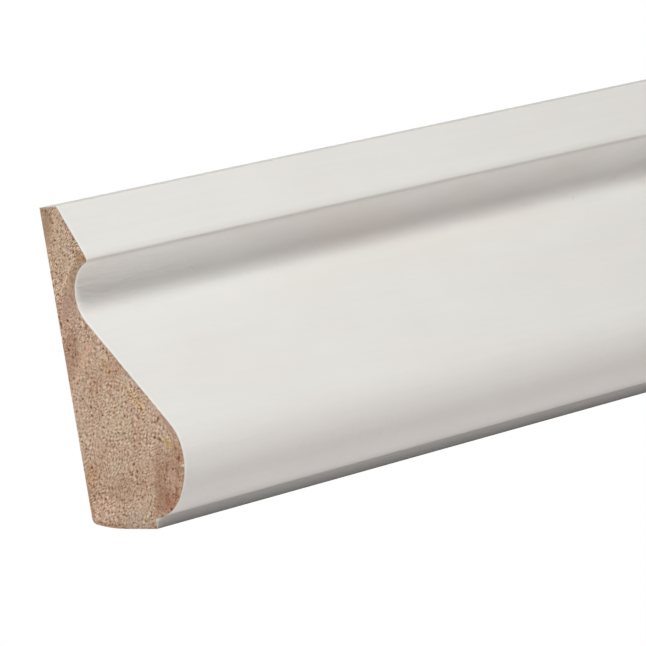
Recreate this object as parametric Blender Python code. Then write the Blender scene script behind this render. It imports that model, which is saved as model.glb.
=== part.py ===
"""Base cap moulding: a short length of primed pine trim that finishes the top of a flat baseboard.

The profile is drawn as depth from the wall and height above the seat, in metres. It stands on its
underside: X runs along the length, +Y points into the wall and the moulded front faces -Y.
"""

import math

import bmesh
import bpy

# Stock size
LENGTH = 0.100
HEIGHT = 0.034925  # 1 3/8 in
DEPTH = 0.0174625  # 11/16 in

# Top edge and the bevel below it
TOP_FLAT = 0.0030
TOP_EASE = 0.00035
ARRIS_DEPTH = 0.00695
ARRIS_HEIGHT = 0.02875

# Cove, a round groove that leaves a thin web of wood behind it
COVE_WEB = 0.00375
COVE_RADIUS = 0.0038

# Nose, the full round at the front
NOSE_HEIGHT = 0.0079
NOSE_UPPER_RADIUS = 0.0047

# Lip under the nose and the flat that sits on the baseboard
LIP_DEPTH = 0.0110
LIP_HEIGHT = 0.00108
LIP_EASE = 0.00015

# Relieved heel at the wall, so that the seat closes tight at the front
RELIEF_START = 0.0055
RELIEF_RISE = 0.0006
HEEL_RADIUS = 0.0008

# Longest step along an arc
ARC_STEP = 0.00030

COLLECTION = "base_cap_moulding"
WALL_NORMAL_SHARE = 0.99


def point_on(centre, radius, angle):
    return (centre[0] + radius * math.cos(angle), centre[1] + radius * math.sin(angle))


def arc(centre, radius, start, end):
    """Points from one angle to another, both ends included."""
    steps = max(2, math.ceil(abs(end - start) * radius / ARC_STEP))
    return [point_on(centre, radius, start + (end - start) * i / steps) for i in range(steps + 1)]


def angle_to(centre, point):
    return math.atan2(point[1] - centre[1], point[0] - centre[0])


def eased_corner(before, corner, after, radius):
    """A small arc that rounds the corner between two straight edges."""
    to_before = angle_to(corner, before)
    half = ((angle_to(corner, after) - to_before + math.pi) % math.tau - math.pi) / 2
    centre = point_on(corner, radius / abs(math.sin(half)), to_before + half)
    side = math.copysign(math.pi / 2, half)
    start = to_before - side
    end = to_before + 2 * half + side
    return arc(centre, radius, start, start + ((end - start + math.pi) % math.tau - math.pi))


def cove_and_slope():
    """The cove, the straight slope that runs out of it and the upper half of the nose."""
    reach = COVE_WEB + COVE_RADIUS
    drop = math.sqrt(COVE_RADIUS**2 - (reach - ARRIS_DEPTH) ** 2)
    cove = (reach, ARRIS_HEIGHT - drop)
    nose = (DEPTH - NOSE_UPPER_RADIUS, NOSE_HEIGHT)
    apart = math.dist(cove, nose)
    slope_normal = angle_to(nose, cove) - math.acos((COVE_RADIUS + NOSE_UPPER_RADIUS) / apart)
    hollow = arc(
        cove,
        COVE_RADIUS,
        angle_to(cove, (ARRIS_DEPTH, ARRIS_HEIGHT)),
        slope_normal + math.pi,
    )
    return hollow + arc(nose, NOSE_UPPER_RADIUS, slope_normal, 0.0)


def nose_underside():
    """The slower curve from the front of the nose back to the top of the lip."""
    back = DEPTH - LIP_DEPTH
    down = NOSE_HEIGHT - LIP_HEIGHT
    radius = (back**2 + down**2) / (2 * back)
    centre = (DEPTH - radius, NOSE_HEIGHT)
    return arc(centre, radius, 0.0, angle_to(centre, (LIP_DEPTH, LIP_HEIGHT)))[1:]


def heel():
    """The shallow relief behind the seat and the rounded corner at the wall."""
    radius = (RELIEF_START**2 + RELIEF_RISE**2) / (2 * RELIEF_RISE)
    centre = (RELIEF_START, radius)
    across = RELIEF_START - HEEL_RADIUS
    corner = (HEEL_RADIUS, radius - math.sqrt((radius - HEEL_RADIUS) ** 2 - across**2))
    meet = angle_to(centre, corner)
    relief = arc(centre, radius, -math.pi / 2, meet)
    return relief + arc(corner, HEEL_RADIUS, meet, -math.pi)[1:]


def profile():
    """The whole section, as (depth, height), from the top of the wall face round the front."""
    top_back = (0.0, HEIGHT)
    top_front = (TOP_FLAT, HEIGHT)
    arris = (ARRIS_DEPTH, ARRIS_HEIGHT)
    seat_front = (LIP_DEPTH, 0.0)
    return (
        [top_back]
        + eased_corner(top_back, top_front, arris, TOP_EASE)
        + cove_and_slope()
        + nose_underside()
        + eased_corner((LIP_DEPTH, LIP_HEIGHT), seat_front, (RELIEF_START, 0.0), LIP_EASE)
        + heel()
    )


def material(name, colour, roughness):
    made = bpy.data.materials.new(name)
    made.use_nodes = True
    shader = made.node_tree.nodes["Principled BSDF"]
    shader.inputs["Base Color"].default_value = (*colour, 1.0)
    shader.inputs["Roughness"].default_value = roughness
    shader.inputs["Metallic"].default_value = 0.0
    return made


def section_curve():
    """The section as a flat filled curve, swept along X by its extrusion."""
    data = bpy.data.curves.new("moulding_section", "CURVE")
    data.dimensions = "2D"
    data.fill_mode = "BOTH"
    data.extrude = LENGTH / 2
    points = profile()
    spline = data.splines.new("POLY")
    spline.points.add(len(points) - 1)
    for point, (depth, height) in zip(spline.points, points):
        point.co = (DEPTH / 2 - depth, height, 0.0, 1.0)
    spline.use_cyclic_u = True
    swept = bpy.data.objects.new("moulding_section", data)
    # The curve's own x, y and z become the world's Y, Z and X
    swept.rotation_euler = (math.pi / 2, 0.0, math.pi / 2)
    return swept


def swept_mesh(swept, name):
    """The sweep as one closed mesh, with its end faces welded to the sides."""
    bpy.context.scene.collection.objects.link(swept)
    bpy.context.view_layer.update()
    evaluated = swept.evaluated_get(bpy.context.evaluated_depsgraph_get())
    mesh = bpy.data.meshes.new_from_object(evaluated)
    mesh.transform(swept.matrix_world)
    mesh.name = name
    shape = bmesh.new()
    shape.from_mesh(mesh)
    bmesh.ops.remove_doubles(shape, verts=shape.verts, dist=1e-7)
    bmesh.ops.recalc_face_normals(shape, faces=shape.faces)
    shape.to_mesh(mesh)
    shape.free()
    curve = swept.data
    bpy.data.objects.remove(swept)
    bpy.data.curves.remove(curve)
    return mesh


def moulding():
    """The one piece: painted on the moulded faces, bare on the wall face and both sawn ends."""
    mesh = swept_mesh(section_curve(), "base_cap_moulding")
    mesh.materials.clear()
    mesh.materials.append(material("white primer", (0.76, 0.75, 0.71), 0.6))
    mesh.materials.append(material("bare pine", (0.54, 0.39, 0.28), 0.75))
    for face in mesh.polygons:
        sawn = abs(face.normal.x) > WALL_NORMAL_SHARE
        face.material_index = int(sawn or face.normal.y > WALL_NORMAL_SHARE)
    mesh.shade_smooth()
    mesh.set_sharp_from_angle(angle=math.radians(20))
    return bpy.data.objects.new("base_cap_moulding", mesh)


def main():
    for old in list(bpy.data.objects):
        bpy.data.objects.remove(old)
    parts = bpy.data.collections.new(COLLECTION)
    bpy.context.scene.collection.children.link(parts)
    parts.objects.link(moulding())


main()
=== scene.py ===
"""A short length of primed pine base cap moulding, with its sawn end towards the camera.

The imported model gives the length, depth and height. The section is drawn as depth from the wall and
height above the seat, in millimetres, like the solid's, and every piece is built on it.
"""

import math

import bmesh
import bpy
import numpy as np
from mathutils import Matrix, Vector
from mathutils.geometry import delaunay_2d_cdt


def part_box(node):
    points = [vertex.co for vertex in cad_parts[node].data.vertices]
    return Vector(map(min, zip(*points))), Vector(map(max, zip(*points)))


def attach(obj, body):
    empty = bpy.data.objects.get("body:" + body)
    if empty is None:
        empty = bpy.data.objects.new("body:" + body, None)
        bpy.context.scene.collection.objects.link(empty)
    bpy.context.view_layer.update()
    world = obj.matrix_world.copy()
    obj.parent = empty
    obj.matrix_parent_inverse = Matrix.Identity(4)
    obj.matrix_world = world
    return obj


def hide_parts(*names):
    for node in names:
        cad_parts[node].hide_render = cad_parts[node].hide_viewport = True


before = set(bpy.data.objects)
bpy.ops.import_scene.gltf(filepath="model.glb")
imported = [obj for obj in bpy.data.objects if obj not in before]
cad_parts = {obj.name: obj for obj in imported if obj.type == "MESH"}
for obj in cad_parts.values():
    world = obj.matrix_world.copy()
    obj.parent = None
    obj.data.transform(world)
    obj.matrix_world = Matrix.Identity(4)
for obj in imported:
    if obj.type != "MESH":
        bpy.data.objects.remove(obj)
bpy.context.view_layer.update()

NODE = "base_cap_moulding"
MM = 0.001

# Stock size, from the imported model
LOW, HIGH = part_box(NODE)
LENGTH = (HIGH.x - LOW.x) / MM
DEPTH = (HIGH.y - LOW.y) / MM
HEIGHT = (HIGH.z - LOW.z) / MM
BACK_Y = HIGH.y

# Section, in millimetres
TOP_FLAT = 3.0
TOP_EASE = 0.35
ARRIS = (6.95, 28.75)
COVE_WEB = 3.75
COVE_RADIUS = 3.8
NOSE_HEIGHT = 7.9
NOSE_UPPER_RADIUS = 4.7
LIP = (11.0, 1.08)
LIP_EASE = 0.15
RELIEF_START = 5.5
RELIEF_RISE = 0.6
HEEL_RADIUS = 0.8

# Primer film: distance round the painted faces and thickness there. It pools in the cove and the lip
COAT = (
    (0.0, 0.012),
    (2.8, 0.02),
    (9.5, 0.05),
    (12.5, 0.11),
    (17.5, 0.11),
    (22.0, 0.05),
    (31.0, 0.04),
    (33.5, 0.08),
    (38.5, 0.10),
    (41.5, 0.13),
    (43.0, 0.03),
    (47.0, 0.012),
)
# The arris is worn this far on both sides, and primer fills the corner before and after the lip
ARRIS_SOFTENS = 0.7
LIP_SOFTENS = (1.6, 0.9)
# How far round the arris the film wavers and thins
ARRIS_REACH = 1.5
# The wood stops this short of the film at both cuts
CUT_SHY = 0.05

# Spacing of the mesh, in millimetres. The grain's is along the rays and across them, for each end
SECTION_STEP = 0.2
EASE_STEP = 0.25  # Share of the radius
BEND_POINTS = 8
FILM_RAIL_STEP = 0.62
WOOD_RAIL_STEP = 5.0
GRAIN_STEP = {-1: (0.13, 0.065), 1: (0.22, 0.11)}
RIM_CLEARANCE = 0.7  # Share of the spacing across the rays
SAWN_FACING = 0.9
SHARP_EDGE = math.radians(50)
LOOP_SLACK = 0.97
WELD = 1e-7
NEARLY = 1e-6

# Length of one wave in a noise texture and in a band texture at scale 1, so that a pattern's scale is
# this length over the real size
NOISE_WAVE = 1.6
BAND_WAVE = 0.32
NOISE_MIDDLE = (0.5, 0.5, 0.5)
# A mapped range: where it starts and ends, and what it becomes there
FROM, ONTO = ("From Min", "From Max"), ("To Min", "To Max")

# Grain of the wood, in millimetres. Pine's own cells are about 0.03 mm across, too fine to show, so the
# torn rows of them are drawn three to four times as coarse
GRAIN_TILT = math.radians(32.0)
GRAIN_BEND, BEND_SPACING = 1.0, 10.0
LENGTHWAYS = 0.04
GROOVE_EDGE = (0.49, 0.56)
RAY_SPACING, RAY_LENGTH = 0.115, 0.40
PORE_SPACING, PORE_RADIUS, PORES_CLOSED = 1.05, 0.15, 0.35
CELL_SPACING, CELL_RADIUS, CELLS_CLOSED = 0.42, 0.10, 0.76
# Smallest and largest opening, and its flat floor, as shares of the radius
OPENING_SIZES, OPENING_FLOOR = (0.55, 1.25), 0.5

# Rows that run the other way, in patches of the lower part of the section
CROSS_TILT = math.radians(-80.0)
CROSS_SPACING, CROSS_LENGTH = 0.11, 0.30
CROSS_BELOW = (17.0, 21.0)
CROSS_PATCH, CROSS_PATCH_EDGE = 7.27, (0.46, 0.58)
CROSS_SHARE = (0.05, 0.85)

# Tones of the clean wood, from the densest to the softest zones
PINE_TONES = ((0.30, "#c9ae96"), (0.45, "#d5bca5"), (0.56, "#dac6b1"), (0.68, "#dac8ae"))
PORE_TONES = ("#6a3c20", "#b06a34")
# Waves per millimetre along the rays, across them and down the length
ZONE_WAVES = (0.12, 0.3, 0.5)

# Patches in the section: depth, height, half length, half width, tilt, colour, strength, smoothness
STAINS = (
    # From the top down to the cove
    (0.7, 33.2, 2.2, 1.2, 80, "#966c48", 0.5, 0.3),
    (2.3, 33.3, 2.2, 0.4, 55, "#f4d6ba", 0.4, 0.3),
    (1.9, 30.2, 3.4, 1.7, 110, "#d6bc9c", 0.35, 0.35),
    (4.6, 28.2, 2.6, 0.8, 47, "#a88265", 0.5, 0.3),
    (2.4, 27.1, 3.2, 0.16, 47, "#f2dcc4", 0.6, 0.6),
    (2.9, 25.6, 3.0, 1.1, 52, "#b3937f", 0.5, 0.5),
    (2.0, 22.8, 2.6, 2.0, 40, "#cbaa98", 0.4, 0.15),
    (1.0, 19.2, 2.6, 1.4, 60, "#a87a66", 0.38, 0.2),
    (2.9, 18.1, 3.6, 0.45, 46, "#f0d2b8", 0.5, 0.3),
    (6.3, 28.8, 0.6, 0.35, 150, "#b08a48", 0.6, -0.3),
    (5.0, 30.0, 1.6, 0.6, 122, "#b4946f", 0.4, -0.3),
    # The slope and the nose
    (10.8, 14.0, 2.3, 0.75, 134, "#e2ca98", 0.5, -0.3),
    (15.1, 9.2, 0.8, 0.4, 150, "#e4c068", 0.6, 0.3),
    (13.1, 9.8, 0.24, 0.15, 60, "#7a3420", 0.9, 0.0),
    (13.9, 9.55, 0.45, 0.17, 150, "#8a4426", 0.85, 0.0),
    (14.6, 5.6, 4.6, 2.7, 62, "#ae866a", 0.48, 0.15),
    (12.5, 5.6, 3.8, 0.7, 74, "#a87c60", 0.28, 0.2),
    (12.6, 2.9, 2.2, 1.0, 40, "#ab7459", 0.45, 0.0),
    (14.3, 2.9, 1.6, 0.7, 40, "#b0604a", 0.3, 0.0),
    (15.6, 11.6, 1.8, 0.8, 120, "#b8897a", 0.45, 0.3),
    (15.0, 5.4, 1.3, 0.8, 100, "#d8b4a0", 0.5, 0.4),
    # The heel and the bottom edge
    (1.2, 5.8, 1.7, 0.8, 75, "#cfa878", 0.4, -0.3),
    (2.2, 1.9, 3.2, 1.6, 10, "#f6dcc4", 0.5, 0.0),
    (0.2, 2.4, 2.2, 0.35, 92, "#a8662e", 0.35, 0.0),
    (2.6, 0.4, 2.6, 0.3, 175, "#a8662e", 0.3, 0.0),
    # Small spots, and a chip of primer last
    (6.6, 17.6, 1.1, 0.4, 130, "#c8924e", 0.35, 0.0),
    (14.1, 11.8, 0.3, 0.17, 60, "#8a3f24", 0.9, 0.0),
    (7.0, 10.4, 0.18, 0.14, 0, "#7a3a22", 0.9, 0.0),
    (8.0, 10.3, 0.18, 0.14, 0, "#7a3a22", 0.9, 0.0),
    (4.5, 21.8, 0.32, 0.16, 20, "#b0604a", 0.8, 0.0),
    (0.3, 22.3, 0.28, 0.16, 90, "#5a3a2a", 0.9, 0.0),
    (13.8, 2.1, 0.25, 0.17, 45, "#7c2f20", 0.9, 0.0),
    (15.2, 4.0, 0.7, 0.25, 60, "#9c643a", 0.5, 0.0),
    (14.2, 6.6, 0.6, 0.22, 70, "#9c643a", 0.45, 0.0),
    (15.9, 6.0, 0.6, 0.22, 90, "#a0642f", 0.5, 0.0),
    (16.2, 8.6, 0.6, 0.22, 110, "#a0642f", 0.5, 0.0),
    (13.5, 3.4, 0.7, 0.28, 50, "#a8674a", 0.45, 0.0),
    (16.4, 7.5, 0.32, 0.22, 100, "#a5621e", 0.9, 0.0),
    (17.0, 6.8, 0.3, 0.12, 15, "#f0f0ec", 0.8, 1.0),
)

# Ragged outline of the patches: its teeth in millimetres, and their reach and fading in half widths
RAGGED_SPACING, RAGGED_REACH, PATCH_EDGE = 1.455, 1.2, (1.1, 1.9)

# What the raised and the torn wood do to the colour under them
BLOTCH_DARK = (1.0, 0.955, 0.925, 1.0)
BLOTCH_LIGHT = (0.99, 1.02, 1.03, 1.0)
BLOTCH_SPACING, BLOTCH_EDGE = 3.2, (0.3, 0.7)
RIDGE_SHADE = (1.36, 1.38, 1.42, 1.0)
GROOVE_SHADE = (0.30, 0.10, 0.0, 1.0)
CELL_SHADE = (0.66, 0.48, 0.32, 1.0)
# How strongly the rows show, from the calm places to the torn ones
TEAR_SPACING, TEAR_EDGE, TEAR_SHARE = 4.0, (0.38, 0.62), (0.75, 1.0)

# Fine fuzz all over the bare wood, in millimetres
FUZZ_SPACING, FUZZ_HEIGHT, FUZZ_STRENGTH = 0.2667, 0.03, 0.6

# The planed back: how much of the end grain's contrast it shows, and its knife marks in millimetres
PLANED_CONTRAST = 0.32
KNIFE_SPACING, KNIFE_WOBBLE, KNIFE_SHARE = 1.6, 0.6, 0.5

# Primer that drifted onto the planed wood, in millimetres from the edge
DRIFT, DRIFT_SPACING = 1.6, 4.57
DRIFT_EDGE, DRIFT_COVER = (0.32, 0.8), 0.9
DRIFT_TONE = "#dddcd8"

# Primer: its tones, and the spacing and length of its patterns in millimetres
PRIMER_TONES, PRIMER_EDGE = ("#dcdbd9", "#dfdedc"), (0.7, 1.3)
LAY_SPACING, LAY_LENGTH = 1.0, 20.0
FILM_LAY_STRETCH = 0.04
CLOUD_SPACING = 13.33
PEEL_SPACING = 1.143
# A faint pink tint of the coat at random, and more of it in the cove as painted shade
BLUSH_AND_SHADE_TONE, BLUSH_SPACING, BLUSH_LENGTH = "#dad2cf", 10.0, 33.3
BLUSH_EDGE, BLUSH_AND_COVE_SHADE_SHARE = (0.36, 0.64), (0.15, 0.6)
COVE_RISE = (21.0, 25.0)

# Along the arris: the film's waver, and a dark line with a wider band beside it, warm where the wood
# shows under the thinned coat near the cut, grey painted shade further off
WAVER_SPACING, WAVER_REST = 7.27, 0.65
WORN_SPACING, WORN_REACH = 0.5333, 0.12
# Painted shade: the dark line along the arris and the band round it, in the wood's tone only near the
# cut
THIN_COAT_AND_SHADE_EDGE, THIN_COAT_AND_SHADE_SHARE = (0.90, 1.04), (0.0, 0.18)
SHADED_EDGE, SHADED_SHARE = (0.45, 1.0), (0.0, 0.12)
ARRIS_WOOD_AND_SHADE_TONES, THIN_NEAR_CUT = ("#8f8780", "#b0968a"), (0.5, 4.0)

# At the saw cut and along the bottom edge, in millimetres
CRUMB_SPACING, CRUMB_REACH = 0.7273, 0.5
# The pale rim at the cut is crumbled primer, and partly a painted highlight of the cut edge
CUT_RIM_AND_HIGHLIGHT_TONE, RIM_EDGE, RIM_SHARE = "#f0efe9", (-0.2, 0.05), (0.5, 0.0)
# Painted shade: the coat is darker along the bottom edge, standing in for the shadow where it meets the
# floor
BOTTOM_SHADE_TONE, BOTTOM_SHADE_EDGE, BOTTOM_SHADE_SHARE = "#6a645f", (0.02, 0.12), (0.3, 0.0)

# Height of the primer's relief in millimetres, and shares of it: lay, smears off and in the cove, dust
PRIMER_RELIEF = 0.02
LAY_HEIGHT = 0.7
SMEAR_SPACING, SMEAR_LENGTH, SMEAR_TWIST = 1.455, 7.27, 0.6
SMEAR_HEIGHTS, HANDLED = (2.5, 12.0), (4.0, 20.0)
DUST_SPACING, DUST_RADIUS, DUST_MISSING, DUST_HEIGHT = 8.0, 0.3, 0.7, 2.5
PRIMER_ROUGHNESS, ROUGHNESS_EDGE = (0.66, 0.74), (0.3, 0.7)

# Camera
CAMERA_AT = (-0.3265, -0.3585, 0.0611)
CAMERA_HEADING = math.radians(40.446)
CAMERA_DIP = math.radians(5.382)
CAMERA_ROLL = math.radians(-9.312)
CAMERA_LENS = 240.7
CAMERA_SENSOR = 36.0
CAMERA_CLIP = 0.01

# Stage, in metres and watts
SHEET_SIDE, TABLE_DROP = 3.0, 0.00002
KEY_AT, KEY_AIM, KEY_SIZE, KEY_POWER = (-0.09, -0.175, 0.335), (0.0, 0.0, 0.015), 0.11, 0.97
KEY_COLOUR, ROOM_COLOUR, TABLE_COLOUR, GLOW_COLOUR = "#fffffb", "#fffdfb", "#b4b0ae", "#fffcfb"
# The room's light low down and overhead, what the left side adds, and where each sets in
ROOM_LIGHT, ROOM_RISE = (0.05, 0.33), (0.2, 0.8)
LEFT_LIGHT, LEFT_TURN = (0.0, 0.45), (-0.3, -0.9)
# Distance from the seat in millimetres, and the table's own light there
TABLE_GLOW = ((0.0, 0.03), (2.0, 0.42), (12.0, 0.40), (26.0, 0.70), (80.0, 0.70), (200.0, 0.15))


def linear(colour):
    """An sRGB hex colour as linear red, green, blue and alpha."""
    parts = [int(colour[i : i + 2], 16) / 255 for i in (1, 3, 5)]
    return (*[c / 12.92 if c <= 0.04045 else ((c + 0.055) / 1.055) ** 2.4 for c in parts], 1.0)


def feed(tree, made, inputs):
    """Fills inputs with plain values, sockets, or nodes, whose first live output is meant.

    A tuple of input names takes a tuple of values.
    """
    for key, value in inputs.items():
        if isinstance(key, tuple):
            feed(tree, made, dict(zip(key, value)))
            continue
        if isinstance(value, bpy.types.Node):
            value = next(socket for socket in value.outputs if socket.enabled)
        if isinstance(value, bpy.types.NodeSocket):
            tree.links.new(value, made.inputs[key])
        else:
            made.inputs[key].default_value = value


def node(tree, kind, inputs=None, **settings):
    """Adds one node with its settings, its values and its links."""
    made = tree.nodes.new(kind)
    for name, value in settings.items():
        setattr(made, name, value)
    feed(tree, made, inputs or {})
    return made


# The section

def arc(centre, radius, start, end, step):
    """Points from one angle to another, both ends included."""
    count = max(2, math.ceil(abs(end - start) * radius / step))
    angles = np.linspace(start, end, count + 1)
    return [(centre[0] + radius * math.cos(a), centre[1] + radius * math.sin(a)) for a in angles]


def angle_to(centre, point):
    return math.atan2(point[1] - centre[1], point[0] - centre[0])


def eased_corner(before, corner, after, radius):
    """A small arc that rounds the corner between two straight edges."""
    to_before = angle_to(corner, before)
    half = ((angle_to(corner, after) - to_before + math.pi) % math.tau - math.pi) / 2
    reach = radius / abs(math.sin(half))
    centre = (
        corner[0] + reach * math.cos(to_before + half),
        corner[1] + reach * math.sin(to_before + half),
    )
    side = math.copysign(math.pi / 2, half)
    start = to_before - side
    turn = (2 * half + 2 * side + math.pi) % math.tau - math.pi
    return arc(centre, radius, start, start + turn, EASE_STEP * radius)


def painted_edge():
    """From the top of the wall face round the moulded front to the end of the flat seat."""
    reach = COVE_WEB + COVE_RADIUS
    cove = (reach, ARRIS[1] - math.sqrt(COVE_RADIUS**2 - (reach - ARRIS[0]) ** 2))
    nose = (DEPTH - NOSE_UPPER_RADIUS, NOSE_HEIGHT)
    lean = math.acos((COVE_RADIUS + NOSE_UPPER_RADIUS) / math.dist(cove, nose))
    slope = angle_to(nose, cove) - lean
    back, down = DEPTH - LIP[0], NOSE_HEIGHT - LIP[1]
    under_radius = (back**2 + down**2) / (2 * back)
    under = (DEPTH - under_radius, NOSE_HEIGHT)
    top_back, top_front = (0.0, HEIGHT), (TOP_FLAT, HEIGHT)
    return (
        [top_back]
        + eased_corner(top_back, top_front, ARRIS, TOP_EASE)
        + arc(cove, COVE_RADIUS, angle_to(cove, ARRIS), slope + math.pi, SECTION_STEP)
        + arc(nose, NOSE_UPPER_RADIUS, slope, 0.0, SECTION_STEP)
        + arc(under, under_radius, 0.0, angle_to(under, LIP), SECTION_STEP)[1:]
        + eased_corner(LIP, (LIP[0], 0.0), (RELIEF_START, 0.0), LIP_EASE)
        + [(RELIEF_START, 0.0)]
    )


def heel_edge():
    """From the end of the seat, up the relief and round the heel to the wall face."""
    radius = (RELIEF_START**2 + RELIEF_RISE**2) / (2 * RELIEF_RISE)
    centre = (RELIEF_START, radius)
    across = RELIEF_START - HEEL_RADIUS
    corner = (HEEL_RADIUS, radius - math.sqrt((radius - HEEL_RADIUS) ** 2 - across**2))
    meet = angle_to(centre, corner)
    relief = arc(centre, radius, -math.pi / 2, meet, SECTION_STEP)[1:]
    return relief + arc(corner, HEEL_RADIUS, meet, -math.pi, SECTION_STEP)[1:]


def evenly(path, step):
    """The same path with more points, so that no two are further apart than the step."""
    points = [np.array(path[0])]
    for here, there in zip(path, path[1:]):
        here, there = np.array(here), np.array(there)
        count = max(1, math.ceil(np.linalg.norm(there - here) / step))
        points += [here + (there - here) * i / count for i in range(1, count + 1)]
    return np.array(points)


def outline():
    """The whole section but the wall face, with the arris worn soft."""
    path = evenly(painted_edge() + heel_edge(), SECTION_STEP)
    return softened(path, np.array(ARRIS), ARRIS_SOFTENS, ARRIS_SOFTENS)


def run_along(path):
    """Distance along the path at each of its points."""
    return np.concatenate([[0.0], np.cumsum(np.linalg.norm(np.diff(path, axis=0), axis=1))])


def softened(path, corner, before, after):
    """The path with one of its corners rounded off, over a distance before it and one after it."""
    apart = np.linalg.norm(path - corner, axis=1)
    middle = apart.argmin()
    first = np.flatnonzero(apart[:middle] >= before)[-1]
    last = middle + np.flatnonzero(apart[middle:] >= after)[0]
    share = np.linspace(0, 1, BEND_POINTS + 2)[1:-1, None]
    bend = (1 - share) ** 2 * path[first] + 2 * share * (1 - share) * corner + share**2 * path[last]
    return np.vstack([path[: first + 1], bend, path[last:]])


def gap_to(points, path):
    """Distance from each point to the nearest stretch of the path."""
    best = np.full(len(points), np.inf)
    for here, there in zip(path, path[1:]):
        along = there - here
        share = ((points - here) @ along / (along @ along)).clip(0, 1)
        best = np.minimum(best, np.linalg.norm(points - here - share[:, None] * along, axis=1))
    return best


def inset(path, amounts):
    """The path moved into the wood, without the small loops that an outside corner leaves."""
    along = np.gradient(path, axis=0)
    along /= np.linalg.norm(along, axis=1)[:, None]
    # The path runs with the wood on its right hand
    inward = np.stack([along[:, 1], -along[:, 0]], axis=1)
    moved = path + inward * amounts[:, None]
    keep = gap_to(moved, path) > amounts * LOOP_SLACK - NEARLY
    return moved[keep]


def film_depth(run):
    """How far the wood lies under the finished outline: the thickness of the coat, none at the wall."""
    places, depths = zip(*COAT)
    return np.interp(run, places, depths) * np.clip((run[-1] - run) / HEEL_RADIUS, 0, 1)


def in_place(points, x):
    """Section points as places in the row's frame, in metres."""
    return [Vector((x, BACK_Y - depth * MM, height * MM)) for depth, height in points]


def link(name, data):
    made = bpy.data.objects.new(name, data)
    bpy.context.scene.collection.objects.link(made)
    return made


def run_nodes(piece, tree, values):
    """Runs a geometry tree once and leaves its result as the piece's plain mesh."""
    modifier = piece.modifiers.new(tree.name, "NODES")
    modifier.node_group = tree
    for item in tree.interface.items_tree:
        if item.item_type == "SOCKET" and item.in_out == "INPUT" and item.name in values:
            modifier[item.identifier] = values[item.name]
    bpy.context.view_layer.update()
    evaluated = piece.evaluated_get(bpy.context.evaluated_depsgraph_get())
    mesh = bpy.data.meshes.new_from_object(evaluated)
    old = piece.data
    piece.modifiers.remove(modifier)
    piece.data = mesh
    mesh.name = piece.name
    bpy.data.meshes.remove(old)
    return piece


def new_tree(name, inputs):
    """An empty geometry tree with named inputs, and its input and output nodes."""
    tree = bpy.data.node_groups.new(name, "GeometryNodeTree")
    tree.interface.new_socket("Geometry", in_out="INPUT", socket_type="NodeSocketGeometry")
    for label, value in inputs.items():
        kind = "NodeSocketInt" if isinstance(value, int) else "NodeSocketFloat"
        tree.interface.new_socket(label, in_out="INPUT", socket_type=kind).default_value = value
    tree.interface.new_socket("Geometry", in_out="OUTPUT", socket_type="NodeSocketGeometry")
    return tree, node(tree, "NodeGroupInput").outputs, node(tree, "NodeGroupOutput")


# Wood

def grain_coordinates(tree, place):
    """Millimetres along the rays, across them and, slowly, down the length, a little bent."""
    turned = node(
        tree,
        "ShaderNodeVectorRotate",
        {"Vector": place, "Angle": GRAIN_TILT, "Axis": (1.0, 0.0, 0.0)},
        rotation_type="AXIS_ANGLE",
    )
    parts = node(tree, "ShaderNodeSeparateXYZ", {0: turned})
    ordered = node(
        tree,
        "ShaderNodeCombineXYZ",
        {"X": parts.outputs["Y"], "Y": parts.outputs["Z"], "Z": parts.outputs["X"]},
    )
    scaled = node(
        tree,
        "ShaderNodeVectorMath",
        {0: ordered, 1: (1.0 / MM, 1.0 / MM, LENGTHWAYS / MM)},
        operation="MULTIPLY",
    )
    bend = node(
        tree,
        "ShaderNodeTexNoise",
        {"Vector": scaled, "Scale": NOISE_WAVE / BEND_SPACING, "Detail": 1.0},
    )
    sideways = node(
        tree,
        "ShaderNodeVectorMath",
        {0: bend.outputs["Color"], 1: NOISE_MIDDLE},
        operation="SUBTRACT",
    )
    return node(
        tree,
        "ShaderNodeVectorMath",
        {0: sideways, 1: (GRAIN_BEND, GRAIN_BEND, 0.0), 2: scaled},
        operation="MULTIPLY_ADD",
    )


def streaks(tree, grain, tilt, spacing, length):
    """Broken grooves at a tilt to the rays, about the spacing apart and the length long, 0 to 1."""
    turned = node(
        tree,
        "ShaderNodeVectorRotate",
        {"Vector": grain, "Angle": tilt, "Axis": (0.0, 0.0, 1.0)},
        rotation_type="AXIS_ANGLE",
    )
    # One groove is the low half of a wave, so a wave is twice the groove's length
    squeezed = node(
        tree,
        "ShaderNodeVectorMath",
        {0: turned, 1: (NOISE_WAVE / (2 * length), NOISE_WAVE / spacing, 1.0)},
        operation="MULTIPLY",
    )
    noise = node(tree, "ShaderNodeTexNoise", {"Vector": squeezed, "Scale": 1.0, "Detail": 1.0})
    return node(
        tree,
        "ShaderNodeMapRange",
        {"Value": noise, FROM: GROOVE_EDGE},
        interpolation_type="SMOOTHSTEP",
    )


def openings(tree, grain, spacing, radius, closed):
    """Round cells scattered at about the spacing, 1 in the middle. A share of them is left closed."""
    cells = node(
        tree,
        "ShaderNodeTexVoronoi",
        {"Vector": grain, "Scale": 1.0 / spacing, "Randomness": 1.0},
        voronoi_dimensions="2D",
        feature="F1",
    )
    chance = node(tree, "ShaderNodeSeparateXYZ", {0: cells.outputs["Color"]})
    sizes = [share * radius / spacing for share in OPENING_SIZES]
    size = node(tree, "ShaderNodeMapRange", {"Value": chance.outputs["Y"], ONTO: sizes})
    inner = node(tree, "ShaderNodeMath", {0: size, 1: OPENING_FLOOR}, operation="MULTIPLY")
    near = node(
        tree,
        "ShaderNodeMapRange",
        {"Value": cells.outputs["Distance"], FROM: (inner, size), ONTO: (1.0, 0.0)},
        interpolation_type="SMOOTHSTEP",
    )
    there = node(tree, "ShaderNodeMath", {0: chance.outputs["X"], 1: closed}, operation="GREATER_THAN")
    return node(tree, "ShaderNodeMath", {0: near, 1: there}, operation="MULTIPLY"), chance


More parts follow.
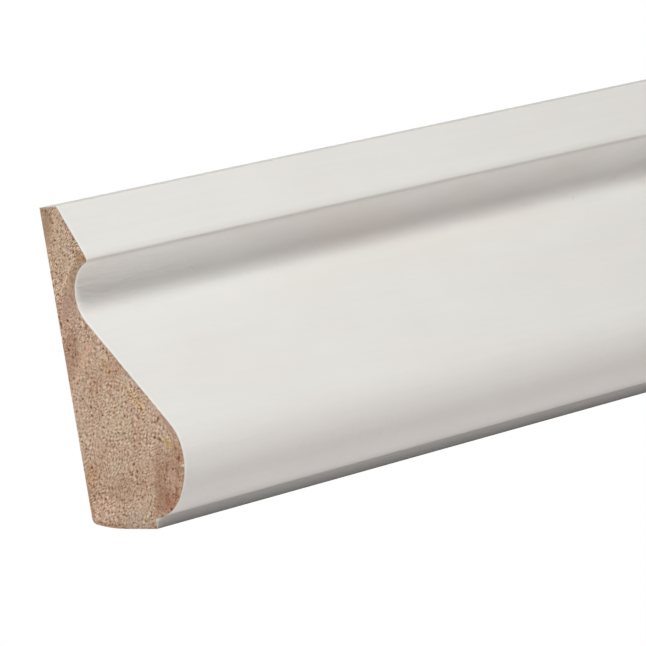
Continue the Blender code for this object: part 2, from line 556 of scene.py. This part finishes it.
def wood_fields(tree, place):
    """What the relief and the colour of the wood share: grooves, pores and small cells."""
    grain = grain_coordinates(tree, place)
    rays = streaks(tree, grain, 0.0, RAY_SPACING, RAY_LENGTH)
    cross = streaks(tree, grain, CROSS_TILT, CROSS_SPACING, CROSS_LENGTH)
    patches = node(
        tree,
        "ShaderNodeTexNoise",
        {"Vector": grain, "Scale": NOISE_WAVE / CROSS_PATCH, "Detail": 1.0},
    )
    share = node(
        tree, "ShaderNodeMapRange", {"Value": patches, FROM: CROSS_PATCH_EDGE, ONTO: CROSS_SHARE}
    )
    height = node(tree, "ShaderNodeSeparateXYZ", {0: place}).outputs["Z"]
    limits = [limit * MM for limit in CROSS_BELOW]
    below = node(tree, "ShaderNodeMapRange", {"Value": height, FROM: limits, ONTO: (1.0, 0.0)})
    share = node(tree, "ShaderNodeMath", {0: share, 1: below}, operation="MULTIPLY")
    grooves = node(tree, "ShaderNodeMix", {"Factor": share, "A": rays, "B": cross}, data_type="FLOAT")
    pores, chance = openings(tree, grain, PORE_SPACING, PORE_RADIUS, PORES_CLOSED)
    cells, _ = openings(tree, grain, CELL_SPACING, CELL_RADIUS, CELLS_CLOSED)
    return grain, grooves, pores, cells, chance


def wood_relief_tree():
    """Torn fibre and open pores on the two sawn ends."""
    tree, given, out = new_tree(
        "sawn_end_relief",
        {"Groove depth": 0.03, "Pore depth": 0.16, "Cell depth": 0.05},
    )
    _, grooves, pores, cells, _ = wood_fields(tree, node(tree, "GeometryNodeInputPosition"))
    depth = 0.0
    for field, label in ((grooves, "Groove depth"), (pores, "Pore depth"), (cells, "Cell depth")):
        depth = node(
            tree,
            "ShaderNodeMath",
            {0: field, 1: given[label], 2: depth},
            operation="MULTIPLY_ADD",
        )
    normal = node(tree, "ShaderNodeSeparateXYZ", {0: node(tree, "GeometryNodeInputNormal")})
    facing = node(tree, "ShaderNodeMath", {0: normal.outputs["X"]}, operation="ABSOLUTE")
    sawn = node(tree, "ShaderNodeMath", {0: facing, 1: SAWN_FACING}, operation="GREATER_THAN")
    sign = node(tree, "ShaderNodeMath", {0: normal.outputs["X"], 1: sawn}, operation="MULTIPLY")
    inward = node(tree, "ShaderNodeMath", {0: sign, 1: -MM}, operation="MULTIPLY")
    shift = node(tree, "ShaderNodeMath", {0: inward, 1: depth}, operation="MULTIPLY")
    marked = node(
        tree,
        "GeometryNodeStoreNamedAttribute",
        {"Geometry": given["Geometry"], "Name": "sawn", "Value": sawn},
        data_type="FLOAT",
        domain="FACE",
    )
    moved = node(
        tree,
        "GeometryNodeSetPosition",
        {"Geometry": marked, "Offset": node(tree, "ShaderNodeCombineXYZ", {"X": shift})},
    )
    finish(tree, moved, "bare pine", out)
    return tree


def finish(tree, shape, material, out):
    """The last two nodes of a tree: plain geometry, then its material."""
    whole = node(tree, "GeometryNodeRealizeInstances", {0: shape})
    wearing = {"Geometry": whole, "Material": bpy.data.materials[material]}
    feed(tree, out, {0: node(tree, "GeometryNodeSetMaterial", wearing)})


def inside(points, loop):
    """Which points lie inside a closed loop, by counting crossings."""
    found = np.zeros(len(points), bool)
    for here, there in zip(loop, np.roll(loop, -1, axis=0)):
        crosses = (here[1] > points[:, 1]) != (there[1] > points[:, 1])
        if crosses.any():
            at = here[0] + (points[:, 1] - here[1]) * (there[0] - here[0]) / (there[1] - here[1])
            found ^= crosses & (points[:, 0] < at)
    return found


def sawn_face(loop, steps):
    """Triangles that fill the section, on a grid laid along the rays."""
    along, across = steps
    reach = HEIGHT
    u, v = np.meshgrid(np.arange(-reach, reach, along), np.arange(-reach, reach, across))
    u[::2] += along / 2
    u, v = u.ravel(), v.ravel()
    turn_cos, turn_sin = math.cos(GRAIN_TILT), math.sin(GRAIN_TILT)
    grid = np.stack([u * turn_cos - v * turn_sin, u * turn_sin + v * turn_cos], axis=1)
    grid += (DEPTH / 2, HEIGHT / 2)
    grid = grid[inside(grid, loop)]
    grid = grid[gap_to(grid, np.vstack([loop, loop[:1]])) > across * RIM_CLEARANCE]
    points = [Vector(p) for p in np.vstack([loop, grid])]
    rim = [(i, (i + 1) % len(loop)) for i in range(len(loop))]
    made = delaunay_2d_cdt(points, rim, [], 1, WELD)
    return made[0], made[2]


def wood_body():
    """The stick of pine under the primer: bare at the back, at the heel and at both sawn ends."""
    whole = outline()
    edge = inset(whole, film_depth(run_along(whole)))
    back = evenly([edge[-1], edge[0]], SECTION_STEP)[1:-1]
    loop = np.vstack([edge, back])
    shape = bmesh.new()
    half = LENGTH / 2 - CUT_SHY
    stations = np.linspace(-half, half, round(2 * half / WOOD_RAIL_STEP) + 1) * MM
    rings = [[shape.verts.new(p) for p in in_place(loop, x)] for x in stations]
    for ring, following in zip(rings, rings[1:]):
        for i in range(len(ring)):
            j = (i + 1) % len(ring)
            shape.faces.new((ring[i], ring[j], following[j], following[i]))
    for side, x in ((-1, stations[0]), (1, stations[-1])):
        points, faces = sawn_face(loop, GRAIN_STEP[side])
        made = [shape.verts.new(p) for p in in_place(points, x)]
        for face in faces:
            shape.faces.new([made[i] for i in face])
    bmesh.ops.remove_doubles(shape, verts=shape.verts, dist=WELD)
    bmesh.ops.recalc_face_normals(shape, faces=shape.faces)
    mesh = bpy.data.meshes.new("pine_body")
    shape.to_mesh(mesh)
    shape.free()
    mesh.shade_smooth()
    mesh.set_sharp_from_angle(angle=SHARP_EDGE)
    return run_nodes(link("pine_body", mesh), wood_relief_tree(), {})


# Primer

def primer_tree():
    """Sweeps the film's section along the length, with a slight lay and a wavering arris."""
    tree, given, out = new_tree(
        "primer_film",
        {"Length": LENGTH * MM, "Stations": 200, "Lay depth": 0.012, "Lay spacing": 1.44, "Waver": 0.09},
    )
    half = node(tree, "ShaderNodeMath", {0: given["Length"], 1: 0.5}, operation="MULTIPLY")
    start = node(tree, "ShaderNodeMath", {0: half, 1: -1.0}, operation="MULTIPLY")
    line = node(
        tree,
        "GeometryNodeCurvePrimitiveLine",
        {
            "Start": node(tree, "ShaderNodeCombineXYZ", {"X": start}),
            "End": node(tree, "ShaderNodeCombineXYZ", {"X": half}),
        },
    )
    rail = node(tree, "GeometryNodeResampleCurve", {"Curve": line, "Count": given["Stations"]})
    upright = node(tree, "GeometryNodeSetCurveNormal", {"Curve": rail}, mode="Z_UP")
    section = node(tree, "GeometryNodeMeshToCurve", {"Mesh": given["Geometry"]})
    swept = node(
        tree,
        "GeometryNodeCurveToMesh",
        {"Curve": upright, "Profile Curve": section, "Fill Caps": True},
    )

    # The lay is drawn along the length and only ever thins the film
    place = node(tree, "GeometryNodeInputPosition")
    drawn = node(
        tree,
        "ShaderNodeVectorMath",
        {0: place, 1: (FILM_LAY_STRETCH / MM, 1.0 / MM, 1.0 / MM)},
        operation="MULTIPLY",
    )
    waves = node(tree, "ShaderNodeMath", {0: NOISE_WAVE, 1: given["Lay spacing"]}, operation="DIVIDE")
    lay = node(tree, "ShaderNodeTexNoise", {"Vector": drawn, "Scale": waves, "Detail": 2.0})
    lay = node(tree, "ShaderNodeMath", {0: lay, 1: 1.0}, operation="SUBTRACT")
    depth = node(tree, "ShaderNodeMath", {0: lay, 1: given["Lay depth"]}, operation="MULTIPLY")

    arris = node(tree, "GeometryNodeInputNamedAttribute", {"Name": "arris"}, data_type="FLOAT")
    waver = node(
        tree,
        "ShaderNodeTexNoise",
        {"Vector": place, "Scale": NOISE_WAVE / WAVER_SPACING / MM, "Detail": 2.0},
    )
    waver = node(tree, "ShaderNodeMath", {0: waver, 1: WAVER_REST}, operation="SUBTRACT")
    waver = node(tree, "ShaderNodeMath", {0: waver, 1: arris}, operation="MULTIPLY")
    depth = node(
        tree, "ShaderNodeMath", {0: waver, 1: given["Waver"], 2: depth}, operation="MULTIPLY_ADD"
    )

    outer = node(tree, "GeometryNodeInputNamedAttribute", {"Name": "outer"}, data_type="FLOAT")
    masked = node(tree, "ShaderNodeMath", {0: depth, 1: outer}, operation="MULTIPLY")
    metres = node(tree, "ShaderNodeMath", {0: masked, 1: MM}, operation="MULTIPLY")
    offset = node(
        tree,
        "ShaderNodeVectorMath",
        {0: node(tree, "GeometryNodeInputNormal"), "Scale": metres},
        operation="SCALE",
    )
    moved = node(tree, "GeometryNodeSetPosition", {"Geometry": swept, "Offset": offset})
    finish(tree, moved, "white primer", out)
    return tree


def primer_film():
    """The coat of primer on the moulded faces, a closed film with its true thickness."""
    whole = outline()
    last = np.flatnonzero((whole[:, 1] < NEARLY) & (whole[:, 0] > RELIEF_START - NEARLY))[-1]
    outer = whole[: last + 1]
    inner = inset(outer, film_depth(run_along(whole))[: last + 1])
    outer = softened(outer, np.array(LIP), *LIP_SOFTENS)
    loop = np.vstack([outer, inner[::-1]])
    mesh = bpy.data.meshes.new("primer_film")
    # The sweep gives the section half a turn, so it is drawn half a turn round
    corners = [(depth * MM - BACK_Y, -height * MM, 0.0) for depth, height in loop]
    mesh.from_pydata(corners, [(i, (i + 1) % len(loop)) for i in range(len(loop))], [])
    outside = mesh.attributes.new("outer", "FLOAT", "POINT")
    outside.data.foreach_set("value", [float(i < len(outer)) for i in range(len(loop))])
    arris = mesh.attributes.new("arris", "FLOAT", "POINT")
    tip = outer[np.linalg.norm(outer - ARRIS, axis=1).argmin()]
    apart = np.linalg.norm(loop - tip, axis=1)
    arris.data.foreach_set("value", (1.0 - apart / ARRIS_REACH).clip(0, 1))
    film = link("primer_film", mesh)
    run_nodes(film, primer_tree(), {"Stations": round(LENGTH / FILM_RAIL_STEP)})
    return film


# Materials

def new_material(name):
    made = bpy.data.materials.new(name)
    made.use_nodes = True
    shader = made.node_tree.nodes["Principled BSDF"]
    place = node(made.node_tree, "ShaderNodeTexCoord").outputs["Object"]
    return made.node_tree, shader, place


def set_stops(ramp, stops):
    """Sets a colour ramp to a run of places and their colours."""
    elements = ramp.color_ramp.elements
    while len(elements) < len(stops):
        elements.new(1.0)
    for element, (at, colour) in zip(elements, stops):
        element.position = at
        element.color = colour


def patch(tree, place, ragged, depth, height, half_length, half_width, tilt):
    """1 within an oval in the section, all along the length, and 0 outside it, with a ragged edge."""
    oval = node(
        tree,
        "ShaderNodeMapping",
        {
            "Vector": place,
            "Location": (0.0, BACK_Y - depth * MM, height * MM),
            "Rotation": (-math.radians(tilt), 0.0, 0.0),
            "Scale": (LENGTH, half_length * MM, half_width * MM),
        },
        vector_type="TEXTURE",
    )
    apart = node(tree, "ShaderNodeVectorMath", {0: oval}, operation="LENGTH")
    torn = node(
        tree, "ShaderNodeMath", {0: ragged, 1: RAGGED_REACH, 2: apart}, operation="MULTIPLY_ADD"
    )
    return node(
        tree,
        "ShaderNodeMapRange",
        {"Value": torn, FROM: PATCH_EDGE, ONTO: (1.0, 0.0)},
        interpolation_type="SMOOTHSTEP",
    )


def overspray(tree, place, planed, colour):
    """Primer that drifted round the top edge and past the seat, on the planed faces alone."""
    parts = node(tree, "ShaderNodeSeparateXYZ", {0: place})
    height = parts.outputs["Z"]
    ragged = node(
        tree,
        "ShaderNodeTexNoise",
        {"Vector": place, "Scale": NOISE_WAVE / DRIFT_SPACING / MM, "Detail": 6.0, "Roughness": 0.75},
    )
    drift = node(tree, "ShaderNodeMath", {0: ragged, 1: DRIFT * MM}, operation="MULTIPLY")
    from_top = node(tree, "ShaderNodeMath", {0: HEIGHT * MM, 1: height}, operation="SUBTRACT")
    seat_end = BACK_Y - RELIEF_START * MM
    from_seat = node(
        tree, "ShaderNodeMath", {0: parts.outputs["Y"], 1: seat_end}, operation="SUBTRACT"
    )
    above = node(tree, "ShaderNodeMath", {0: height, 1: HEIGHT / 2 * MM}, operation="GREATER_THAN")
    gap = node(
        tree, "ShaderNodeMix", {"Factor": above, "A": from_seat, "B": from_top}, data_type="FLOAT"
    )
    left = node(tree, "ShaderNodeMath", {0: drift, 1: gap}, operation="SUBTRACT")
    limits = [limit * MM for limit in DRIFT_EDGE]
    white = node(tree, "ShaderNodeMapRange", {"Value": left, FROM: limits, ONTO: (0.0, DRIFT_COVER)})
    white = node(tree, "ShaderNodeMath", {0: white, 1: planed}, operation="MULTIPLY")
    over = {"Factor": white, "A": colour, "B": linear(DRIFT_TONE)}
    return node(tree, "ShaderNodeMix", over, data_type="RGBA")


def bare_pine():
    """Pine as the saw and the planer leave it, with no finish on it.

    To the eye it is dull and pinkish tan. The saw cuts are torn into fine slanting rows, with open
    pores and soft patches of brown and ochre. The planed back is calmer, with faint knife marks.
    """
    tree, shader, place = new_material("bare pine")
    grain, grooves, pores, cells, chance = wood_fields(tree, place)
    broad = node(tree, "ShaderNodeVectorMath", {0: grain, 1: ZONE_WAVES}, operation="MULTIPLY")
    zone = node(
        tree,
        "ShaderNodeTexNoise",
        {"Vector": broad, "Scale": 1.0, "Detail": 3.0, "Roughness": 0.6},
    )
    clean = node(tree, "ShaderNodeValToRGB", {"Fac": zone})
    set_stops(clean, [(at, linear(tone)) for at, tone in PINE_TONES])

    # The planed back shows less of everything than the sawn ends
    sawn = node(tree, "ShaderNodeAttribute", attribute_name="sawn").outputs["Fac"]
    planed = node(tree, "ShaderNodeMath", {0: 1.0, 1: sawn}, operation="SUBTRACT")
    contrast = node(tree, "ShaderNodeMapRange", {"Value": sawn, ONTO: (PLANED_CONTRAST, 1.0)})
    tearing = node(
        tree,
        "ShaderNodeTexNoise",
        {"Vector": grain, "Scale": NOISE_WAVE / TEAR_SPACING, "Detail": 2.0},
    )
    tearing = node(tree, "ShaderNodeMapRange", {"Value": tearing, FROM: TEAR_EDGE, ONTO: TEAR_SHARE})
    tearing = node(tree, "ShaderNodeMath", {0: contrast, 1: tearing}, operation="MULTIPLY")

    # The patches keep their place in the section all along the stick. A smooth one calms the rows
    ragged = node(
        tree,
        "ShaderNodeTexNoise",
        {"Vector": grain, "Scale": NOISE_WAVE / RAGGED_SPACING, "Detail": 3.0, "Roughness": 0.65},
    )
    stained = clean
    for *where, stain, strength, smoothness in STAINS:
        inside_it = patch(tree, place, ragged, *where)
        share = node(tree, "ShaderNodeMath", {0: inside_it, 1: strength}, operation="MULTIPLY")
        over = {"Factor": share, "A": stained, "B": linear(stain)}
        stained = node(tree, "ShaderNodeMix", over, data_type="RGBA")
        if smoothness:
            calmed = {"Value": inside_it, ONTO: (1.0, 1.0 - smoothness)}
            left = node(tree, "ShaderNodeMapRange", calmed)
            tearing = node(tree, "ShaderNodeMath", {0: tearing, 1: left}, operation="MULTIPLY")
    tearing = node(tree, "ShaderNodeClamp", {"Value": tearing})
    over = {"Factor": contrast, "A": clean, "B": stained}
    colour = node(tree, "ShaderNodeMix", over, data_type="RGBA")

    # Blotches, rows and cells darken or lighten what they lie on
    blotches = node(
        tree,
        "ShaderNodeTexNoise",
        {"Vector": grain, "Scale": NOISE_WAVE / BLOTCH_SPACING, "Detail": 4.0},
    )
    blotches = node(tree, "ShaderNodeMapRange", {"Value": blotches, FROM: BLOTCH_EDGE})
    over = {"Factor": blotches, "A": BLOTCH_DARK, "B": BLOTCH_LIGHT}
    blotches = node(tree, "ShaderNodeMix", over, data_type="RGBA")
    over = {"Factor": grooves, "A": RIDGE_SHADE, "B": GROOVE_SHADE}
    rows = node(tree, "ShaderNodeMix", over, data_type="RGBA")
    torn_cells = node(tree, "ShaderNodeMath", {0: cells, 1: tearing}, operation="MULTIPLY")
    for share, shade in ((1.0, blotches), (tearing, rows), (torn_cells, CELL_SHADE)):
        over = {"Factor": share, "A": colour, "B": shade}
        colour = node(tree, "ShaderNodeMix", over, data_type="RGBA", blend_type="MULTIPLY")

    dark, light = PORE_TONES
    over = {"Factor": chance.outputs["Z"], "A": linear(dark), "B": linear(light)}
    pore_colour = node(tree, "ShaderNodeMix", over, data_type="RGBA")
    pore_share = node(tree, "ShaderNodeMath", {0: pores, 1: contrast}, operation="MULTIPLY")
    over = {"Factor": pore_share, "A": colour, "B": pore_colour}
    colour = node(tree, "ShaderNodeMix", over, data_type="RGBA")
    colour = overspray(tree, place, planed, colour)

    # Fine fuzz all over, and knife marks across the planed back
    fuzz = node(
        tree,
        "ShaderNodeTexNoise",
        {"Vector": grain, "Scale": NOISE_WAVE / FUZZ_SPACING, "Detail": 3.0},
    )
    knives = node(
        tree,
        "ShaderNodeTexWave",
        {
            "Vector": place,
            "Scale": BAND_WAVE / KNIFE_SPACING / MM,
            "Distortion": KNIFE_WOBBLE,
            "Detail": 1.0,
        },
        bands_direction="X",
    )
    knives = node(tree, "ShaderNodeMath", {0: knives, 1: planed}, operation="MULTIPLY")
    height = node(
        tree, "ShaderNodeMath", {0: knives, 1: KNIFE_SHARE, 2: fuzz}, operation="MULTIPLY_ADD"
    )
    bump = node(
        tree,
        "ShaderNodeBump",
        {"Height": height, "Distance": FUZZ_HEIGHT * MM, "Strength": FUZZ_STRENGTH},
    )
    bare = {"Base Color": colour, "Roughness": 0.85, "Specular IOR Level": 0.3, "Normal": bump}
    feed(tree, shader, bare)


def pink_tint_and_cove_shade(tree, mm, cove):
    """Share of a faint pink tint in the coat: at random in places, and most of all in the cove, where it
    is painted shade.
    """
    stretched = node(
        tree,
        "ShaderNodeVectorMath",
        {0: mm, 1: (BLUSH_SPACING / BLUSH_LENGTH, 1.0, 1.0)},
        operation="MULTIPLY",
    )
    places = node(
        tree,
        "ShaderNodeTexNoise",
        {"Vector": stretched, "Scale": NOISE_WAVE / BLUSH_SPACING, "Detail": 2.0},
    )
    most = node(tree, "ShaderNodeMapRange", {"Value": cove, ONTO: BLUSH_AND_COVE_SHADE_SHARE})
    return node(
        tree,
        "ShaderNodeMapRange",
        {"Value": places, FROM: BLUSH_EDGE, ONTO: (0.0, most)},
        interpolation_type="SMOOTHSTEP",
    )


def arris_wood_and_painted_shade(tree, drawn, from_cut):
    """Share and colour of the dark line along the arris: wood under a thinned coat, warmest near the
    cut, and painted shade, grey further off and in a wider band round it.
    """
    arris = node(tree, "ShaderNodeAttribute", attribute_name="arris").outputs["Fac"]
    worn = node(
        tree,
        "ShaderNodeTexNoise",
        {"Vector": drawn, "Scale": NOISE_WAVE / WORN_SPACING, "Detail": 2.0},
    )
    rubbed_and_shaded = node(
        tree, "ShaderNodeMath", {0: worn, 1: WORN_REACH, 2: arris}, operation="MULTIPLY_ADD"
    )
    thin_coat_and_shade = node(
        tree,
        "ShaderNodeMapRange",
        {"Value": rubbed_and_shaded, FROM: THIN_COAT_AND_SHADE_EDGE, ONTO: THIN_COAT_AND_SHADE_SHARE},
        interpolation_type="SMOOTHSTEP",
    )
    # A wider band of painted shade round the arris
    shaded = node(tree, "ShaderNodeMapRange", {"Value": rubbed_and_shaded, FROM: SHADED_EDGE, ONTO: SHADED_SHARE})
    thin_coat_and_shade = node(tree, "ShaderNodeMath", {0: thin_coat_and_shade, 1: shaded}, operation="ADD")
    near_cut = node(
        tree, "ShaderNodeMapRange", {"Value": from_cut, FROM: THIN_NEAR_CUT, ONTO: (1.0, 0.0)}
    )
    far_tone, near_tone = ARRIS_WOOD_AND_SHADE_TONES
    over = {"Factor": near_cut, "A": linear(far_tone), "B": linear(near_tone)}
    return thin_coat_and_shade, node(tree, "ShaderNodeMix", over, data_type="RGBA")


def white_primer():
    """Acrylic primer, sprayed on and left matt.

    To the eye it is an even warm white with a faint lay along the length and a faint pink tint, partly
    painted shade in the cove. Along the arris it is darkened by the wood under a thinned coat and by
    painted shade, at the saw cut it is crumbled and pale with a painted highlight, and painted shade
    darkens the bottom edge.
    """
    tree, shader, place = new_material("white primer")
    mm = node(tree, "ShaderNodeVectorMath", {0: place, "Scale": 1.0 / MM}, operation="SCALE")
    parts = node(tree, "ShaderNodeSeparateXYZ", {0: mm})
    height = parts.outputs["Z"]
    drawn = node(
        tree,
        "ShaderNodeVectorMath",
        {0: mm, 1: (LAY_SPACING / LAY_LENGTH, 1.0, 1.0)},
        operation="MULTIPLY",
    )
    lay = node(
        tree,
        "ShaderNodeTexNoise",
        {"Vector": drawn, "Scale": NOISE_WAVE / LAY_SPACING, "Detail": 3.0},
    )
    cloud = node(
        tree,
        "ShaderNodeTexNoise",
        {"Vector": mm, "Scale": NOISE_WAVE / CLOUD_SPACING, "Detail": 2.0},
    )
    both = node(tree, "ShaderNodeMath", {0: lay, 1: cloud}, operation="ADD")
    even = node(tree, "ShaderNodeMapRange", {"Value": both, FROM: PRIMER_EDGE})
    dull, bright = PRIMER_TONES
    over = {"Factor": even, "A": linear(dull), "B": linear(bright)}
    colour = node(tree, "ShaderNodeMix", over, data_type="RGBA")

    # Where the cove is, and how far off the cut is
    rising = node(
        tree,
        "ShaderNodeMapRange",
        {"Value": height, FROM: COVE_RISE},
        interpolation_type="SMOOTHSTEP",
    )
    under = node(tree, "ShaderNodeMath", {0: height, 1: ARRIS[1]}, operation="LESS_THAN")
    cove = node(tree, "ShaderNodeMath", {0: rising, 1: under}, operation="MULTIPLY")
    from_cut = node(tree, "ShaderNodeMath", {0: parts.outputs["X"]}, operation="ABSOLUTE")
    from_cut = node(tree, "ShaderNodeMath", {0: LENGTH / 2, 1: from_cut}, operation="SUBTRACT")
    # A pink tint at random, and painted shade in the cove
    pink_tint_and_shade = pink_tint_and_cove_shade(tree, mm, cove)
    # The dark arris line: wood under the coat near the cut, painted shade elsewhere
    thin_coat_and_shade, wood_and_shade_tone = arris_wood_and_painted_shade(tree, drawn, from_cut)

    # The saw leaves a crumbled pale rim with a painted highlight along the cut edge, and painted shade
    # darkens the bottom edge
    crumbs = node(
        tree,
        "ShaderNodeTexNoise",
        {"Vector": mm, "Scale": NOISE_WAVE / CRUMB_SPACING, "Detail": 3.0},
    )
    # A pale band along the cut: crumbled primer, and a painted highlight where the cut edge catches the
    # light
    rim_at = node(
        tree, "ShaderNodeMath", {0: crumbs, 1: -CRUMB_REACH, 2: from_cut}, operation="MULTIPLY_ADD"
    )
    rim = node(
        tree,
        "ShaderNodeMapRange",
        {"Value": rim_at, FROM: RIM_EDGE, ONTO: RIM_SHARE},
        interpolation_type="SMOOTHSTEP",
    )
    # Painted shade along the bottom edge
    bottom_shade = node(tree, "ShaderNodeMapRange", {"Value": height, FROM: BOTTOM_SHADE_EDGE, ONTO: BOTTOM_SHADE_SHARE})
    for share, tone in (
        (pink_tint_and_shade, linear(BLUSH_AND_SHADE_TONE)),
        (thin_coat_and_shade, wood_and_shade_tone),
        (rim, linear(CUT_RIM_AND_HIGHLIGHT_TONE)),
        (bottom_shade, linear(BOTTOM_SHADE_TONE)),
    ):
        over = {"Factor": share, "A": colour, "B": tone}
        colour = node(tree, "ShaderNodeMix", over, data_type="RGBA")
    rough = node(
        tree, "ShaderNodeMapRange", {"Value": lay, FROM: ROUGHNESS_EDGE, ONTO: PRIMER_ROUGHNESS}
    )

    # Lay and orange peel, smears where the end was handled, and a few specks of dust under the coat
    peel = node(
        tree,
        "ShaderNodeTexNoise",
        {"Vector": mm, "Scale": NOISE_WAVE / PEEL_SPACING, "Detail": 2.0},
    )
    raised = node(tree, "ShaderNodeMath", {0: lay, 1: LAY_HEIGHT, 2: peel}, operation="MULTIPLY_ADD")
    squeeze = [NOISE_WAVE / size for size in (SMEAR_LENGTH, SMEAR_SPACING, SMEAR_SPACING)]
    smears = node(tree, "ShaderNodeVectorMath", {0: mm, 1: squeeze}, operation="MULTIPLY")
    smears = node(
        tree,
        "ShaderNodeTexNoise",
        {"Vector": smears, "Scale": 1.0, "Detail": 2.0, "Distortion": SMEAR_TWIST},
    )
    most = node(tree, "ShaderNodeMapRange", {"Value": cove, ONTO: SMEAR_HEIGHTS})
    handled = node(tree, "ShaderNodeMapRange", {"Value": from_cut, FROM: HANDLED, ONTO: (most, 0.0)})
    round_it = node(tree, "ShaderNodeMath", {0: height, 1: parts.outputs["Y"]}, operation="SUBTRACT")
    flat = node(tree, "ShaderNodeCombineXYZ", {"X": parts.outputs["X"], "Y": round_it})
    specks, _ = openings(tree, flat, DUST_SPACING, DUST_RADIUS, DUST_MISSING)
    for field, share in ((smears, handled), (specks, DUST_HEIGHT)):
        raised = node(tree, "ShaderNodeMath", {0: field, 1: share, 2: raised}, operation="MULTIPLY_ADD")
    bump = node(
        tree, "ShaderNodeBump", {"Height": raised, "Distance": PRIMER_RELIEF * MM, "Strength": 1.0}
    )
    coat = {"Base Color": colour, "Roughness": rough, "Specular IOR Level": 0.3, "Normal": bump}
    feed(tree, shader, coat)


# Stage

def camera():
    data = bpy.data.cameras.new("camera")
    data.lens = CAMERA_LENS
    data.sensor_width = CAMERA_SENSOR
    data.clip_start = CAMERA_CLIP
    made = link("camera", data)
    turn = (
        Matrix.Rotation(-CAMERA_HEADING, 4, "Z")
        @ Matrix.Rotation(math.pi / 2 - CAMERA_DIP, 4, "X")
        @ Matrix.Rotation(CAMERA_ROLL, 4, "Z")
    )
    made.matrix_world = Matrix.Translation(CAMERA_AT) @ turn
    bpy.context.scene.camera = made


def key_light():
    data = bpy.data.lights.new("key light", "AREA")
    data.shape = "DISK"
    data.size = KEY_SIZE
    data.energy = KEY_POWER
    data.color = linear(KEY_COLOUR)[:3]
    made = link("key light", data)
    made.location = KEY_AT
    made.rotation_euler = (Vector(KEY_AIM) - Vector(KEY_AT)).to_track_quat("-Z", "Y").to_euler()


def sheet(name, corners, colour, faces=((0, 1, 2, 3),)):
    """A large flat sheet of matt material, or several. Gives it and its material's parts."""
    mesh = bpy.data.meshes.new(name)
    mesh.from_pydata(corners, [], faces)
    tree, shader, place = new_material(name)
    matt = {"Base Color": linear(colour), "Roughness": 1.0, "Specular IOR Level": 0.0}
    feed(tree, shader, {**matt, "Emission Color": linear("#ffffff")})
    mesh.materials.append(bpy.data.materials[name])
    placed = link(name, mesh)
    return placed, tree, shader, place


def backdrop():
    """White floor and walls that only the camera sees."""
    side, low, high = SHEET_SIDE, 0.0, SHEET_SIDE
    ring = ((-side, -side), (side, -side), (side, side), (-side, side))
    corners = [(x, y, z) for z in (low, high) for x, y in ring]
    faces = [(0, 1, 2, 3)] + [(i, (i + 1) % 4, (i + 1) % 4 + 4, i + 4) for i in range(4)]
    white, _, shader, _ = sheet("backdrop", corners, "#000000", faces)
    shader.inputs["Emission Strength"].default_value = 1.0
    white.visible_diffuse = False
    white.visible_glossy = False
    white.visible_shadow = False


def table():
    """What lights the moulding from below. It is dim under it, bright in front and dimmer far off."""
    side, low = SHEET_SIDE, -TABLE_DROP
    corners = [(-side, -side, low), (side, -side, low), (side, side, low), (-side, side, low)]
    top, tree, shader, place = sheet("table", corners, TABLE_COLOUR)
    top.visible_camera = False
    top.location.y = BACK_Y - LIP[0] * MM / 2
    reach = node(tree, "ShaderNodeVectorMath", {0: place}, operation="ABSOLUTE")
    half = (LENGTH * MM / 2, LIP[0] * MM / 2, 0.0)
    beyond = node(tree, "ShaderNodeVectorMath", {0: reach, 1: half}, operation="SUBTRACT")
    beyond = node(tree, "ShaderNodeVectorMath", {0: beyond, 1: (0.0, 0.0, 0.0)}, operation="MAXIMUM")
    apart = node(tree, "ShaderNodeVectorMath", {0: beyond}, operation="LENGTH")
    last = TABLE_GLOW[-1][0]
    share = node(tree, "ShaderNodeMath", {0: apart, 1: last * MM}, operation="DIVIDE")
    glow = node(tree, "ShaderNodeValToRGB", {"Fac": share})
    set_stops(glow, [(gap / last, (light, light, light, 1.0)) for gap, light in TABLE_GLOW])
    feed(tree, shader, {"Emission Strength": glow, "Emission Color": linear(GLOW_COLOUR)})


def room():
    """Dim light from all round, brighter above and on the left."""
    world = bpy.data.worlds.new("studio")
    world.use_nodes = True
    tree = world.node_tree
    way = node(tree, "ShaderNodeTexCoord").outputs["Generated"]
    way = node(tree, "ShaderNodeSeparateXYZ", {0: way}).outputs
    above = node(tree, "ShaderNodeMapRange", {"Value": way["Z"], FROM: ROOM_RISE, ONTO: ROOM_LIGHT})
    left = node(tree, "ShaderNodeMapRange", {"Value": way["X"], FROM: LEFT_TURN, ONTO: LEFT_LIGHT})
    light = node(tree, "ShaderNodeMath", {0: above, 1: left}, operation="ADD")
    feed(tree, tree.nodes["Background"], {"Strength": light, "Color": linear(ROOM_COLOUR)})
    bpy.context.scene.world = world
    bpy.context.scene.view_settings.view_transform = "Standard"


def main():
    camera()
    room()
    key_light()
    backdrop()
    table()
    bare_pine()
    white_primer()
    wood = wood_body()
    film = primer_film()
    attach(wood, "root")
    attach(film, "root")
    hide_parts(NODE)


main()
